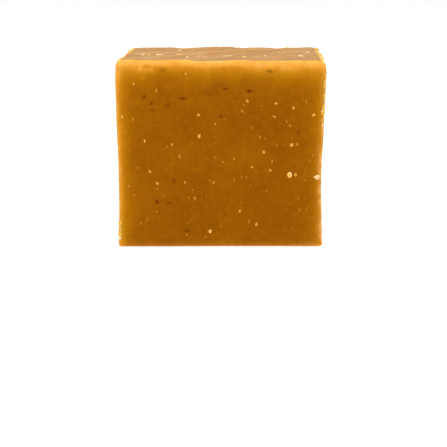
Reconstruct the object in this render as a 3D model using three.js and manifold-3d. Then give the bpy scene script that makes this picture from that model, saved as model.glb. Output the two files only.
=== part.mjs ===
// One cube of butter fudge, knife-cut on four sides from a slab whose top was spread with a palette knife.
// Millimetres, +Z up, the side that shows most towards -Y, origin on the underside below the block's middle.

import * as THREE from 'three';
import { mergeVertices } from 'three/addons/utils/BufferGeometryUtils.js';
import Module from 'manifold-3d';

const wasm = await Module();
wasm.setup();

// Driving sizes of the block
const WIDTH = 34.3;
const DEPTH = 34;
const HEIGHT = 31.5;
const HALF_WIDTH = WIDTH / 2;
const HALF_DEPTH = DEPTH / 2;

// The cut is not quite square: the right side runs outward to the back
const RIGHT_FLARE = 1.7;
const LEFT_FLARE = 0.1;
const FRONT_SHIFT = -(RIGHT_FLARE - LEFT_FLARE) / 2;

// Rounding of the edges
const TOP_RADIUS = 1.0;
const FRONT_TOP_REACH = 1.5;
const FRONT_BLEND_DEPTH = 2;
const UPRIGHT_RADIUS = 0.9;
const BASE_RADIUS = 0.45;
const BLEND_HEIGHT = 3;

// Slow waves of the cut sides: size, length and place along the height or the side
const SIDE_WAVES = {
  left: { rise: 0.08, length: 27, start: 17, slant: 0.1 },
  right: { rise: 0.2, length: 32, start: 18, slant: 0.1 },
  front: { rise: 0.1, length: 23, start: 9, slant: 0.5 },
  back: { rise: 0.18, length: 21, start: 5, slant: 0.6 },
};

// Ridges of the spread skin: place across the strokes, and rise
const RIDGES = [[-20, 0.3], [-13.5, 0.42], [-6.5, 0.5], [-0.5, 0.72], [7, 0.42], [13, 0.58], [20, 0.3]];
const RIDGE_ANGLE = 0.84;
const RIDGE_FAN = 0.012;
const RIDGE_SWAY = 1.3;
const RIDGE_BEND = 8.5;
const RIDGE_FADE = 0.3;
const RIDGE_LENGTH = 5.5;
const RIDGE_TURN = 2.4;
const STEEP_REACH = 1.0;
const GENTLE_REACH = 3.4;
const SKIN_DIP = 0.25;
const SKIN_GRIP = 0.7;
const SKIN_TILT = 0.17;
const RIM_HOLD = 0.4;
const RIM_REACH = 6;

// Rows of the surface grid
const EDGE_ROWS = 3;
const SIDE_ROWS = 22;
const UPRIGHT_ROWS = 18;

// The four cut sides: outward direction, and the way along each
const SIDES = {
  front: { out: [0, -1], along: [1, 0] },
  right: { out: [1, 0], along: [0, 1] },
  back: { out: [0, 1], along: [-1, 0] },
  left: { out: [-1, 0], along: [0, -1] },
};

// Soft dents on the front: place along, height, half width, half height, depth
const FRONT_DENTS = [
  [-12.4, 25.3, 0.35, 0.4, 0.25],
  [-11.2, 24.2, 0.3, 0.4, 0.2],
  [-11.1, 23.2, 0.3, 0.3, 0.2],
  [-8.6, 24.0, 0.4, 0.25, 0.2],
  [-6.1, 25.1, 0.5, 0.28, 0.3],
  [-1.5, 26.2, 1.9, 0.9, 0.1],
  [-0.2, 27.2, 0.9, 0.5, 0.1],
  [0.8, 26.7, 0.45, 0.4, 0.25],
  [4.7, 26.3, 0.5, 0.38, 0.35],
  [0.0, 22.1, 0.35, 0.35, 0.3],
  [-7.8, 11.3, 0.3, 0.45, 0.2],
  [-10.6, 7.7, 0.4, 0.4, 0.3],
  [-8.7, 7.4, 0.4, 0.3, 0.18],
  [-5.7, 2.7, 0.35, 0.3, 0.2],
  [8.1, 29.7, 0.5, 0.3, 0.3],
  [-9.4, 29.8, 0.6, 0.35, 0.2],
  [12.9, 19.5, 0.5, 0.5, 0.12],
];

// Sugar grains that stand out of the front: place along, height, size
const FRONT_GRAINS = [
  [11.7, 12.4, 0.5],
  [16.3, 12.0, 0.75],
  [-3.5, 18.9, 0.4],
  [4.4, 24.7, 0.4],
  [12.0, 23.6, 0.35],
  [15.3, 22.4, 0.35],
  [-1.7, 2.7, 0.4],
  [-6.8, 15.5, 0.35],
  [7.3, 16.2, 0.35],
  [-4.3, 8.4, 0.35],
  [-13.4, 4.1, 0.3],
];

// Pits and grains of the other cut sides, which follow a rule
const PIT_COUNT = 11;
const GRAIN_COUNT = 8;
const PITS_APART = 3.6;
const PIT_MARGIN = 2.6;
const PIT_HALF_SIZE = [0.45, 1.15];
const PIT_FLATNESS = [0.65, 1];
const PIT_DEPTH = [0.3, 0.75];
const PIT_BOWL = 1.6;
const GRAIN_SIZE = [0.34, 0.5];
const GRAIN_DEPTH = 0.8;
const GRAIN_STAND = 0.35;
const TRIES_FOR_EACH = 60;

// Crumbs torn up along the edges: a corner, how many on its upright, and how many on the rim that starts there
const CORNERS = [
  { corner: [-1, -1], upright: 0, rim: 0 },
  { corner: [1, -1], upright: 0, rim: 6 },
  { corner: [1, 1], upright: 7, rim: 6 },
  { corner: [-1, 1], upright: 7, rim: 4 },
];

// Crumbs that show: corner, height, half length, half thickness
const SEEN_CRUMBS = [
  [-1, -1, 2.6, 1.7, 0.45],
  [-1, -1, 30.3, 0.4, 0.22],
  [1, -1, 27.4, 0.7, 0.35],
  [1, -1, 25.4, 0.4, 0.3],
  [1, -1, 23.3, 0.9, 0.35],
  [1, -1, 21.3, 0.8, 0.25],
  [1, 1, 31.0, 0.8, 0.6],
];
const CRUMB_LENGTH = [0.5, 1.3];
const CRUMB_THICKNESS = [0.3, 0.5];
const CRUMB_SINK = 0.08;
const CRUMB_CLEARANCE = 1.6;
const CRUMB_TURN = 0.25;

// How uneven a lump is, the half width from which a pit has rounder walls, and the shortest edge that a join keeps
const SHAPE_UNEVENNESS = 0.22;
const ROUNDER_FROM = 0.75;
const JOIN_TOLERANCE = 0.02;
const PLACE_SEED = 4256;
const SHAPE_SEED = 917;

const FUDGE_COLOR = 0x9c5b14;

// Repeatable even random numbers from 0 to 1
function randomFrom(seed) {
  let state = seed;
  return () => {
    state = (state * 48271) % 2147483647;
    return state / 2147483647;
  };
}

const between = ([low, high], share) => low + (high - low) * share;

const clamp = THREE.MathUtils.clamp;

const smoothstep = THREE.MathUtils.smoothstep;

// Edge rounding at a height: the uprights widen into the soft top edge and tighten at the sharp base
function plannedRadius(z) {
  const nearTop = smoothstep(z, HEIGHT - BLEND_HEIGHT, HEIGHT);
  const nearBase = 1 - smoothstep(z, 0, BLEND_HEIGHT);
  return UPRIGHT_RADIUS + (TOP_RADIUS - UPRIGHT_RADIUS) * nearTop + (BASE_RADIUS - UPRIGHT_RADIUS) * nearBase;
}

// How far down the rounding of the top edge reaches: further at the front, where the knife dragged it over
function topReach(y) {
  return TOP_RADIUS + (FRONT_TOP_REACH - TOP_RADIUS) * smoothstep(-y, HALF_DEPTH - FRONT_BLEND_DEPTH, HALF_DEPTH);
}

// A point on a box with rounded edges, from its place on a plain box of the same size
function roundedPoint(x, y, z) {
  const radius = plannedRadius(z);
  const topDrop = topReach(y);
  const reach = [radius, radius, z > HEIGHT / 2 ? topDrop : BASE_RADIUS];
  const inner = [
    clamp(x, radius - HALF_WIDTH, HALF_WIDTH - radius),
    clamp(y, radius - HALF_DEPTH, HALF_DEPTH - radius),
    clamp(z, BASE_RADIUS, HEIGHT - topDrop),
  ];
  const away = [x, y, z].map((value, i) => (value - inner[i]) / reach[i]);
  const length = Math.hypot(...away) || 1;
  return inner.map((value, i) => value + (away[i] / length) * reach[i]);
}

// How far the spread skin stands over its middle level, with its ridges lower at the rim
function skinHeight(x, y) {
  const inside = Math.min(HALF_WIDTH - Math.abs(x), HALF_DEPTH - Math.abs(y));
  const hold = RIM_HOLD + (1 - RIM_HOLD) * smoothstep(inside, 0, RIM_REACH);
  const along = x * Math.cos(RIDGE_ANGLE) + y * Math.sin(RIDGE_ANGLE);
  const straight = y * Math.cos(RIDGE_ANGLE) - x * Math.sin(RIDGE_ANGLE);
  const across = straight * (1 + RIDGE_FAN * along) + RIDGE_SWAY * Math.sin(along / RIDGE_BEND);
  return RIDGES.reduce((height, [place, rise], i) => {
    const off = across - place;
    const reach = off < 0 ? STEEP_REACH : GENTLE_REACH;
    const fade = 1 - RIDGE_FADE + RIDGE_FADE * Math.sin(along / RIDGE_LENGTH + i * RIDGE_TURN);
    return height + hold * rise * fade * Math.exp(-((off / reach) ** 2));
  }, -SKIN_DIP * hold);
}

// Outward wave of one cut side
function sideWave(name, along, z) {
  const { rise, length, start, slant } = SIDE_WAVES[name];
  return rise * Math.sin((2 * Math.PI * (z - start + slant * along)) / length);
}

// The fudge's own form: waves and flare of the cut sides, ridges of the skin, underside flat
function fudgePoint(x, y, z) {
  const [rx, ry, rz] = roundedPoint(x, y, z);
  const u = rx / HALF_WIDTH;
  const v = ry / HALF_DEPTH;
  const flare = ((1 + v) / 4) * (RIGHT_FLARE * (1 + u) - LEFT_FLARE * (1 - u));
  const waveX = u * sideWave(u > 0 ? 'right' : 'left', ry, rz);
  const waveY = v * sideWave(v > 0 ? 'back' : 'front', rx, rz);
  const grip = smoothstep(rz / HEIGHT, SKIN_GRIP, 1);
  const skin = SKIN_TILT * v + skinHeight(rx, ry);
  return [rx + FRONT_SHIFT + flare + waveX, ry + waveY, rz + grip * skin];
}

// Even grid coordinate from -1 to 1, with its outer rows packed into the rounded edge
function packedRow(even, rows, half, radius) {
  const evenEdge = 1 - (2 * EDGE_ROWS) / rows;
  const flat = 1 - radius / half;
  const share = Math.abs(even);
  if (share < evenEdge) {
    return (even / evenEdge) * flat;
  }
  return Math.sign(even) * (flat + ((share - evenEdge) / (1 - evenEdge)) * (1 - flat));
}

function onlyPositions(geometry) {
  geometry.deleteAttribute('normal');
  geometry.deleteAttribute('uv');
  return mergeVertices(geometry);
}

function solidFrom(geometry) {
  const vertProperties = new Float32Array(geometry.attributes.position.array);
  const triVerts = new Uint32Array(geometry.index.array);
  return new wasm.Manifold(new wasm.Mesh({ numProp: 3, vertProperties, triVerts, tolerance: JOIN_TOLERANCE }));
}

// The whole block before anything is torn from it
function blockGeometry() {
  const grid = onlyPositions(new THREE.BoxGeometry(2, 2, 2, SIDE_ROWS, SIDE_ROWS, UPRIGHT_ROWS));
  const position = grid.attributes.position;
  for (let i = 0; i < position.count; i += 1) {
    const heightEven = position.getZ(i);
    const endRadius = heightEven > 0 ? FRONT_TOP_REACH : BASE_RADIUS;
    const heightShare = packedRow(heightEven, UPRIGHT_ROWS, HEIGHT / 2, endRadius);
    const z = ((heightShare + 1) / 2) * HEIGHT;
    const radius = plannedRadius(z);
    const x = packedRow(position.getX(i), SIDE_ROWS, HALF_WIDTH, radius) * HALF_WIDTH;
    const y = packedRow(position.getY(i), SIDE_ROWS, HALF_DEPTH, radius) * HALF_DEPTH;
    position.setXYZ(i, ...fudgePoint(x, y, z));
  }
  return grid;
}

// A small uneven lump, placed and turned
function lump(random, detail, halfSizes, turn, centre) {
  const shape = onlyPositions(new THREE.IcosahedronGeometry(1, detail));
  const position = shape.attributes.position;
  for (let i = 0; i < position.count; i += 1) {
    const pull = 1 - SHAPE_UNEVENNESS * random();
    position.setXYZ(i, position.getX(i) * pull, position.getY(i) * pull, position.getZ(i) * pull);
  }
  shape.scale(...halfSizes);
  shape.rotateX(turn[0]);
  shape.rotateY(turn[1]);
  shape.rotateZ(turn[2]);
  shape.translate(...centre);
  return solidFrom(shape);
}

// Where a place on a cut side lies, moved outward by a distance
function sidePoint(name, along, z, outward) {
  const { out, along: way } = SIDES[name];
  const x = out[0] * HALF_WIDTH + way[0] * along;
  const y = out[1] * HALF_DEPTH + way[1] * along;
  const [px, py, pz] = fudgePoint(x, y, z);
  return [px + out[0] * outward, py + out[1] * outward, pz];
}

const sideTurn = (name) => Math.atan2(SIDES[name].along[1], SIDES[name].along[0]);

// Places spread over a cut side by a rule, kept apart and clear of its edges
function scatter(random, count, apart, margin) {
  const places = [];
  for (let tries = 0; places.length < count && tries < count * TRIES_FOR_EACH; tries += 1) {
    const along = (random() * 2 - 1) * (HALF_WIDTH - margin);
    const z = margin + random() * (HEIGHT - 2 * margin);
    if (places.every(([a, b]) => Math.hypot(along - a, z - b) > apart)) {
      places.push([along, z]);
    }
  }
  return places;
}

// Pits of the sides that follow the rule: place along, height, half width, half height, depth
function ruledPits(random) {
  return scatter(random, PIT_COUNT, PITS_APART, PIT_MARGIN).map(([along, z]) => {
    const size = between(PIT_HALF_SIZE, random() ** 2);
    const flatness = between(PIT_FLATNESS, random());
    const depth = between(PIT_DEPTH, (size - PIT_HALF_SIZE[0]) / PIT_HALF_SIZE[1]);
    return [along, z, size, size * flatness, depth];
  });
}

function ruledGrains(random) {
  const places = scatter(random, GRAIN_COUNT, PITS_APART, PIT_MARGIN);
  return places.map(([along, z]) => [along, z, between(GRAIN_SIZE, random())]);
}

// Crumbs along the uprights and the rim of the top: a place on the plain box, half sizes and the axis of the run
function ruledCrumbs(random) {
  const drawSize = () => [between(CRUMB_LENGTH, random()), between(CRUMB_THICKNESS, random())];
  const crumbs = SEEN_CRUMBS.map(([cx, cy, z, length, thickness]) => (
    { place: [cx * HALF_WIDTH, cy * HALF_DEPTH, z], size: [length, thickness], run: 'z' }
  ));
  CORNERS.forEach(({ corner: [cx, cy], upright }) => {
    for (let i = 0; i < upright; i += 1) {
      const z = CRUMB_CLEARANCE + random() * (HEIGHT - TOP_RADIUS - 2 * CRUMB_CLEARANCE);
      crumbs.push({ place: [cx * HALF_WIDTH, cy * HALF_DEPTH, z], size: drawSize(), run: 'z' });
    }
  });
  CORNERS.forEach(({ corner: [cx, cy], rim }, index) => {
    const run = index % 2 === 0 ? 'x' : 'y';
    for (let i = 0; i < rim; i += 1) {
      const along = (random() * 2 - 1) * (HALF_WIDTH - CRUMB_CLEARANCE);
      const place = run === 'x' ? [along, cy * HALF_DEPTH, HEIGHT] : [cx * HALF_WIDTH, along, HEIGHT];
      crumbs.push({ place, size: drawSize(), run });
    }
  });
  return crumbs;
}

function pitSolid(random, side, [along, z, halfWidth, halfHeight, depth]) {
  const bowl = depth * PIT_BOWL;
  const centre = sidePoint(side, along, z, bowl - depth);
  const detail = halfWidth < ROUNDER_FROM ? 0 : 1;
  return lump(random, detail, [halfWidth, bowl, halfHeight], [0, 0, sideTurn(side)], centre);
}

function grainSolid(random, side, [along, z, size]) {
  const centre = sidePoint(side, along, z, (GRAIN_STAND - 0.5) * size);
  return lump(random, 0, [size, size * GRAIN_DEPTH, size], [0, random() * Math.PI, sideTurn(side)], centre);
}

function crumbSolid(random, { place, size: [length, thickness], run }) {
  const [x, y, z] = fudgePoint(...place);
  const centre = [
    x * (1 - CRUMB_SINK / HALF_WIDTH),
    y * (1 - CRUMB_SINK / HALF_DEPTH),
    run === 'z' ? z : z - CRUMB_SINK / 2,
  ];
  const halfSizes = ['x', 'y', 'z'].map((axis) => (axis === run ? length : thickness));
  return lump(random, 0, halfSizes, [0, 0, (random() * 2 - 1) * CRUMB_TURN], centre);
}

// Cuts the pits and joins the grains and crumbs, each an uneven lump
function fudgeSolid() {
  const place = randomFrom(PLACE_SEED);
  const shape = randomFrom(SHAPE_SEED);
  let solid = solidFrom(blockGeometry());
  Object.keys(SIDES).forEach((side) => {
    const pits = side === 'front' ? FRONT_DENTS : ruledPits(place);
    const grains = side === 'front' ? FRONT_GRAINS : ruledGrains(place);
    pits.forEach((pit) => {
      solid = solid.subtract(pitSolid(shape, side, pit));
    });
    grains.forEach((grain) => {
      solid = solid.add(grainSolid(shape, side, grain));
    });
  });
  ruledCrumbs(place).forEach((crumb) => {
    solid = solid.add(crumbSolid(shape, crumb));
  });
  return solid;
}

function meshFrom(name, solid, color) {
  const { vertProperties, triVerts } = solid.getMesh();
  const geometry = new THREE.BufferGeometry();
  geometry.setAttribute('position', new THREE.BufferAttribute(new Float32Array(vertProperties), 3));
  geometry.setIndex(new THREE.BufferAttribute(new Uint32Array(triVerts), 1));
  geometry.computeVertexNormals();
  const mesh = new THREE.Mesh(geometry, new THREE.MeshStandardMaterial({ color, roughness: 0.5, metalness: 0 }));
  mesh.name = name;
  return mesh;
}

const fudge = new THREE.Group();
fudge.add(meshFrom('fudge_cube', fudgeSolid(), FUDGE_COLOR));

export default fudge;
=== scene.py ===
import math

import bmesh
import bpy
import numpy as np
from mathutils import Matrix, Vector, noise
from mathutils.bvhtree import BVHTree


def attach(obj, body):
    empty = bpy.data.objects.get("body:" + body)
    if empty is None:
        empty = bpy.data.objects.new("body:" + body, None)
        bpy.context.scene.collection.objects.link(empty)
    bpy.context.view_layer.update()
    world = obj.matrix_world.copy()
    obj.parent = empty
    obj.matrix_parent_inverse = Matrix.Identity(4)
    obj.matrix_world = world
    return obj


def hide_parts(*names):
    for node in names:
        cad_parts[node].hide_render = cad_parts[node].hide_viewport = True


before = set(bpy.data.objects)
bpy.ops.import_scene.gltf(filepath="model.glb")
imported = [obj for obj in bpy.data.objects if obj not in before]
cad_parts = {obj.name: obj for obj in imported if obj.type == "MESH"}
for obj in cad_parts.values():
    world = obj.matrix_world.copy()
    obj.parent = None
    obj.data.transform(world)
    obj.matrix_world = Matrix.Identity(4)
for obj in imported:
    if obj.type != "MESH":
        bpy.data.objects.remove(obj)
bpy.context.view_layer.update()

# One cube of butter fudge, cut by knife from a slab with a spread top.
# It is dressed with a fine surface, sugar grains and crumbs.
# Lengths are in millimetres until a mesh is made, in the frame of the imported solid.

MM = 0.001
NODE = "fudge_cube"
BODY = "root"

# Points of the plain box closer than this to one of its planes lie on it
CLOSE = 1e-3

# Driving sizes of the block, as in the solid
WIDTH = 34.3
DEPTH = 34.0
HEIGHT = 31.5
HALF_WIDTH = WIDTH / 2
HALF_DEPTH = DEPTH / 2
HALF_SIZES = np.array([HALF_WIDTH, HALF_DEPTH, HEIGHT / 2])

# The cut is not quite square: the right side runs outward to the back
RIGHT_FLARE = 1.7
LEFT_FLARE = 0.1
FRONT_SHIFT = -(RIGHT_FLARE - LEFT_FLARE) / 2

# Rounding of the edges
TOP_RADIUS = 1.0
FRONT_TOP_REACH = 1.5
FRONT_BLEND_DEPTH = 2.0
UPRIGHT_RADIUS = 0.9
BASE_RADIUS = 0.45
BLEND_HEIGHT = 3.0

# Slow waves of the cut sides: rise, length, start and slant
SIDE_WAVES = {
    "left": (0.08, 27.0, 17.0, 0.1),
    "right": (0.2, 32.0, 18.0, 0.1),
    "front": (0.1, 23.0, 9.0, 0.5),
    "back": (0.18, 21.0, 5.0, 0.6),
}

# Ridges of the spread skin: place across the strokes, and rise
RIDGES = [(-20, 0.3), (-13.5, 0.42), (-6.5, 0.5), (-0.5, 0.72), (7, 0.42), (13, 0.58), (20, 0.3)]
RIDGE_ANGLE = 0.84
RIDGE_FAN = 0.012
RIDGE_SWAY = 1.3
RIDGE_BEND = 8.5
RIDGE_FADE = 0.3
RIDGE_LENGTH = 5.5
RIDGE_TURN = 2.4
STEEP_REACH = 1.0
GENTLE_REACH = 3.4
SKIN_DIP = 0.25
SKIN_GRIP = 0.7
SKIN_TILT = 0.17
RIM_HOLD = 0.4
RIM_REACH = 6.0

# The four cut sides: outward direction, and the way along each
SIDES = {
    "front": ((0, -1), (1, 0)),
    "right": ((1, 0), (0, 1)),
    "back": ((0, 1), (-1, 0)),
    "left": ((-1, 0), (0, -1)),
}

# Soft dents on the front: place along, height, half width, half height, depth
FRONT_DENTS = [
    (-12.4, 25.3, 0.35, 0.4, 0.25),
    (-11.2, 24.2, 0.3, 0.4, 0.2),
    (-11.1, 23.2, 0.3, 0.3, 0.2),
    (-8.6, 24.0, 0.4, 0.25, 0.2),
    (-6.1, 25.1, 0.5, 0.28, 0.3),
    (-1.5, 26.2, 1.9, 0.9, 0.1),
    (-0.2, 27.2, 0.9, 0.5, 0.1),
    (0.8, 26.7, 0.45, 0.4, 0.25),
    (4.7, 26.3, 0.5, 0.38, 0.35),
    (0.0, 22.1, 0.35, 0.35, 0.3),
    (-7.8, 11.3, 0.3, 0.45, 0.2),
    (-10.6, 7.7, 0.4, 0.4, 0.3),
    (-8.7, 7.4, 0.4, 0.3, 0.18),
    (-5.7, 2.7, 0.35, 0.3, 0.2),
    (8.1, 29.7, 0.5, 0.3, 0.3),
    (-9.4, 29.8, 0.6, 0.35, 0.2),
    (12.9, 19.5, 0.5, 0.5, 0.12),
]

# Sugar grains that stand out of the front: place along, height, size, and how bright it is
FRONT_GRAINS = [
    (11.7, 12.4, 0.5, 0.85),
    (16.3, 12.0, 0.75, 0.95),
    (-3.5, 18.9, 0.4, 0.5),
    (4.4, 24.7, 0.4, 0.25),
    (12.0, 23.6, 0.35, 0.5),
    (15.3, 22.4, 0.35, 0.7),
    (-1.7, 2.7, 0.4, 0.8),
    (-6.8, 15.5, 0.35, 0.2),
    (7.3, 16.2, 0.35, 0.55),
    (-4.3, 8.4, 0.35, 0.2),
    (-13.4, 4.1, 0.3, 0.12),
]

# Pits, grains and crumbs that follow a rule, as in the solid
PIT_COUNT = 11
GRAIN_COUNT = 8
PITS_APART = 3.6
PIT_MARGIN = 2.6
PIT_HALF_SIZE = (0.45, 1.15)
PIT_FLATNESS = (0.65, 1.0)
PIT_DEPTH = (0.3, 0.75)
GRAIN_SIZE = (0.34, 0.5)
GRAIN_TONE = (0.2, 0.65)
CRUMB_LENGTH = (0.5, 1.3)
CRUMB_THICKNESS = (0.3, 0.5)
CRUMB_CLEARANCE = 1.6
PLACE_SEED = 4256

# Crumbs torn up along the edges: a corner, the count on its upright, and the count on the rim from there
CORNERS = [((-1, -1), 0, 0), ((1, -1), 0, 6), ((1, 1), 7, 6), ((-1, 1), 7, 4)]

# Crumbs that show: corner, height, half length, half thickness
SEEN_CRUMBS = [
    (-1, -1, 2.6, 1.7, 0.45),
    (-1, -1, 30.3, 0.4, 0.22),
    (1, -1, 27.4, 0.7, 0.35),
    (1, -1, 25.4, 0.4, 0.3),
    (1, -1, 23.3, 0.9, 0.35),
    (1, -1, 21.3, 0.8, 0.25),
    (1, 1, 31.0, 0.8, 0.6),
]

# Small grains on the front besides the solid's: place along and height, and a streak's turn in degrees
BRIGHT_GRAINS = [
    (-14.1, 27.6), (-10.4, 26.5), (-3.6, 22.4), (9.1, 24.3), (11.9, 17.4), (12.7, 12.4), (-10.6, 10.9),
    (-5.6, 29.2), (-12.5, 18.1), (-16.1, 22.1), (5.3, 13.7), (8.4, 13.2), (3.3, 6.2), (6.1, 3.9),
    (-11.8, 12.9), (-15.4, 10.5),
]
PALE_GRAINS = [
    (-8.8, 17.1), (-8.0, 17.5), (-0.8, 15.4), (-0.8, 20.9), (3.9, 24.1), (12.8, 17.5), (0.5, 14.6),
    (2.3, 15.1), (15.5, 15.7), (14.9, 14.8), (2.3, 11.4), (7.8, 9.7), (-10.6, 10.0),
    (-9.5, 8.7), (-4.6, 9.8), (-5.3, 8.5), (-1.8, 11.4), (-1.1, 11.1), (-10.7, 6.1),
    (-12.3, 4.7), (-5.6, 2.1), (-15.2, 1.5),
]
STREAK_GRAINS = [
    (-6.7, 15.6, 20), (-14.3, 21.7, 0), (-15.7, 19.4, -25), (3.6, 23.0, 50), (14.0, 24.6, 15),
    (8.9, 22.1, 60), (10.9, 21.3, 45), (11.5, 20.6, 45), (5.2, 20.3, 10), (6.6, 18.7, 30),
    (8.7, 14.7, 0), (9.6, 29.1, 0), (3.6, 12.0, 0), (4.4, 12.0, 0), (4.9, 4.4, 0),
    (-14.4, 8.9, 90), (-5.9, 11.1, 5), (13.4, 6.4, 0), (14.5, 6.4, 0),
]

# How far the skin's gloss rolls over the rim: the upward share of the outward direction there
RIM_TURN = 0.3

# Fineness of the surface: first cell, then which stretches are halved again
FIRST_CELL = 0.7
EDGE_BAND = 1.7
PIT_BAND = 1.35
CREASE_BAND = 0.9

# Relief of the surface: how high or deep each kind of unevenness is
SLOW_RELIEF = 0.08
FINE_RELIEF = 0.02
DRAG_RELIEF = 0.02
FOLD_RELIEF = 0.12
CREASE_DEPTH = 0.18
LUMP_RELIEF = 0.16
CHIP_DEPTH = 0.4
CRUST_RELIEF = 0.05

# Sharp folds beside the ridges of the skin: how far off, how wide, and how they wander and break off
CREASE_OFFSET = 1.7
CREASE_WIDTH = 0.28
CREASE_WANDER = 0.6
WANDER_LENGTH = 3.7
BREAK_LENGTH = 6.1
BREAK_TURN = 2.3

# Pits, in shares of their size: how far their painted shade reaches, and the place and width of the
# crumbly lip
PIT_REACH = 3.4
LIP_PLACE = 1.2
LIP_WIDTH = 0.22

# Torn rims: how much of the front ones the knife left whole, and how much less of the right one
FRONT_KEPT = 0.92
RIGHT_TORN = 0.25

# Painted glow near the edges, standing in for light that comes through them: its strength, how deep it
# keeps it, and how far it takes to fade from there
TOP_GLOW_DEPTH = 0.8
TOP_GLOW_BEND = 0.5
TOP_GLOW_FADE = 1.45
UPRIGHT_GLOW = 0.46
UPRIGHT_GLOW_DEPTH = 0.6
UPRIGHT_GLOW_FADE = 1.0
BASE_GLOW = 0.32
BASE_GLOW_FADE = 0.6
# How much more the painted glow is on the left uprights, and how much less at the base on the left
GLOW_LEAN = 0.13

# Where the front's painted glow runs lower: place along, half width, and how much lower
LOW_GLOW_PLACE = -12.3
LOW_GLOW_REACH = 2.0
LOW_GLOW_DROP = 0.9

# Front grains with a shape of their own, which come first: the ring and the flake
SHAPED_GRAINS = 2

# Sizes, proportions and tones of the grains; a kind adds how far it turns and how far it stands out
GRAIN_SHRINK = 0.85
GRAIN_SHAPE = (0.75, 1.0, 0.6)
BRIGHT_SIZE = (0.22, 0.32)
BRIGHT_TONE = (0.3, 0.6)
GROWN_SIZE = (0.35, 0.6)
GROWN_SHAPE = (0.8, 1.0, 0.7)
GROWN_TONE = (0.3, 0.9)
PALE_KIND = ((0.18, 0.32), (0.8, 1.0, 0.5), (0.05, 0.3), 0.4, 0.3)
FAINT_KIND = ((0.12, 0.3), (0.8, 1.1, 0.4), (0.0, 0.1), 0.6, 0.2)
FAINT_GRAINS = 70
STREAK_WIDTH = (0.1, 0.16)
STREAK_LENGTH = (0.3, 0.42)
STREAK_THICKNESS = 0.08
STREAK_TONE = (0.05, 0.3)
CRYSTAL_SIZE = (0.09, 0.2)
CRYSTAL_SHAPE = (1.0, 1.2, 0.8)
CRYSTAL_TONE = (0.1, 0.6)

# Crumbs: count of bits, and more for each millimetre, how far they stray, and their looks
CRUST_BITS = 4
BITS_PER_LENGTH = 9
BIT_STRAY = 0.4
BIT_SIZE = (0.25, 0.7)
BIT_SHAPE = (0.9, 1.2, 0.9)
BIT_TONE = (0.5, 1.0)
CORE_TONE = 0.55
CRUMB_ROUGHNESS = 0.6

# Fine bits down the uprights: counts at the back and at the front, and their looks
FRINGE_BITS = 34
FRONT_FRINGE_BITS = 12
FRINGE_INSET = (0.1, 0.9)
FRINGE_SIZE = (0.08, 0.2)
FRINGE_SHAPE = (0.9, 1.3, 0.8)
FRINGE_TONE = (0.4, 1.0)

# Pale flecks on the skin, the listed ones put where glints show along a ridge crest, a painted highlight:
# place and half length behind the front edge, how many by chance, and their looks
SKIN_GLINT_FLECKS = [
    (-14.4, -3.5, 1.0), (-11.5, -2.5, 0.5), (-7.9, -6.0, 0.5), (-5.3, -7.5, 1.1), (-2.9, -7.0, 1.0),
    (0.3, -6.3, 0.7), (3.4, -7.2, 0.5), (6.3, -7.8, 0.9), (12.9, -6.6, 0.5),
]
CHANCE_FLECKS = 3
CHANCE_LENGTH = (0.15, 0.35)
FLECK_LENGTH = (0.14, 0.42)
FLECK_WIDTH = (0.1, 0.26)
FLECK_THICKNESS = (0.06, 0.1)
FLECK_TONE = (0.85, 1.1)
FLECK_ROUGHNESS = 0.7

# Stage: a white floor, a light tent that is brightest overhead, and the camera of the photograph
FLOOR_RADIUS = 2.4
FLOOR_COLOR = (0.5, 0.5, 0.5, 1.0)
FLOOR_LIGHT = 0.55
SIDE_LIGHT = 0.33
TOP_LIGHT = 1.95
SIDE_END = 0.15
TOP_START = 0.75
WHITE = (1.0, 1.0, 1.0, 1.0)
LENS = 81.9
SENSOR = 36.0
PITCH = 12.8
CAMERA_PLACE = (-0.25, -(HALF_DEPTH + 167.2), 42.07)


def random_from(seed):
    """Repeatable even random numbers from 0 to 1, the same as the solid's."""
    state = seed
    while True:
        state = state * 48271 % 2147483647
        yield state / 2147483647


def between(limits, share):
    """The value at a share of the way from one limit to the other."""
    low, high = limits
    return low + (high - low) * share


def smoothstep(x, low, high):
    """0 up to the low value, 1 from the high one on, and a smooth rise between them."""
    share = np.clip((x - low) / (high - low), 0, 1)
    return share * share * (3 - 2 * share)


def planned_radius(z):
    """Rounding of the uprights at a height: near the top and the base it runs over to theirs."""
    near_top = smoothstep(z, HEIGHT - BLEND_HEIGHT, HEIGHT)
    near_base = 1 - smoothstep(z, 0, BLEND_HEIGHT)
    to_top = (TOP_RADIUS - UPRIGHT_RADIUS) * near_top
    to_base = (BASE_RADIUS - UPRIGHT_RADIUS) * near_base
    return UPRIGHT_RADIUS + to_top + to_base


def top_reach(y):
    """How far down the rounding of the top edge reaches: further where the knife dragged the front."""
    near_front = smoothstep(-y, HALF_DEPTH - FRONT_BLEND_DEPTH, HALF_DEPTH)
    return TOP_RADIUS + (FRONT_TOP_REACH - TOP_RADIUS) * near_front


def rounded_points(plain):
    """Points on the box with rounded edges, and the outward directions there, from the plain box."""
    radius = planned_radius(plain[:, 2])
    top_drop = top_reach(plain[:, 1])
    end_radius = np.where(plain[:, 2] > HEIGHT / 2, top_drop, BASE_RADIUS)
    reach = np.stack([radius, radius, end_radius], axis=1)
    inner = plain.copy()
    inner[:, 0] = np.clip(plain[:, 0], radius - HALF_WIDTH, HALF_WIDTH - radius)
    inner[:, 1] = np.clip(plain[:, 1], radius - HALF_DEPTH, HALF_DEPTH - radius)
    inner[:, 2] = np.clip(plain[:, 2], BASE_RADIUS, HEIGHT - top_drop)
    away = (plain - inner) / reach
    away /= np.maximum(np.linalg.norm(away, axis=1, keepdims=True), 1e-9)
    return inner + away * reach, away


def stroke_coordinates(x, y):
    """Places along and across the strokes of the palette knife."""
    along = x * math.cos(RIDGE_ANGLE) + y * math.sin(RIDGE_ANGLE)
    straight = y * math.cos(RIDGE_ANGLE) - x * math.sin(RIDGE_ANGLE)
    return along, straight * (1 + RIDGE_FAN * along) + RIDGE_SWAY * np.sin(along / RIDGE_BEND)


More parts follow.
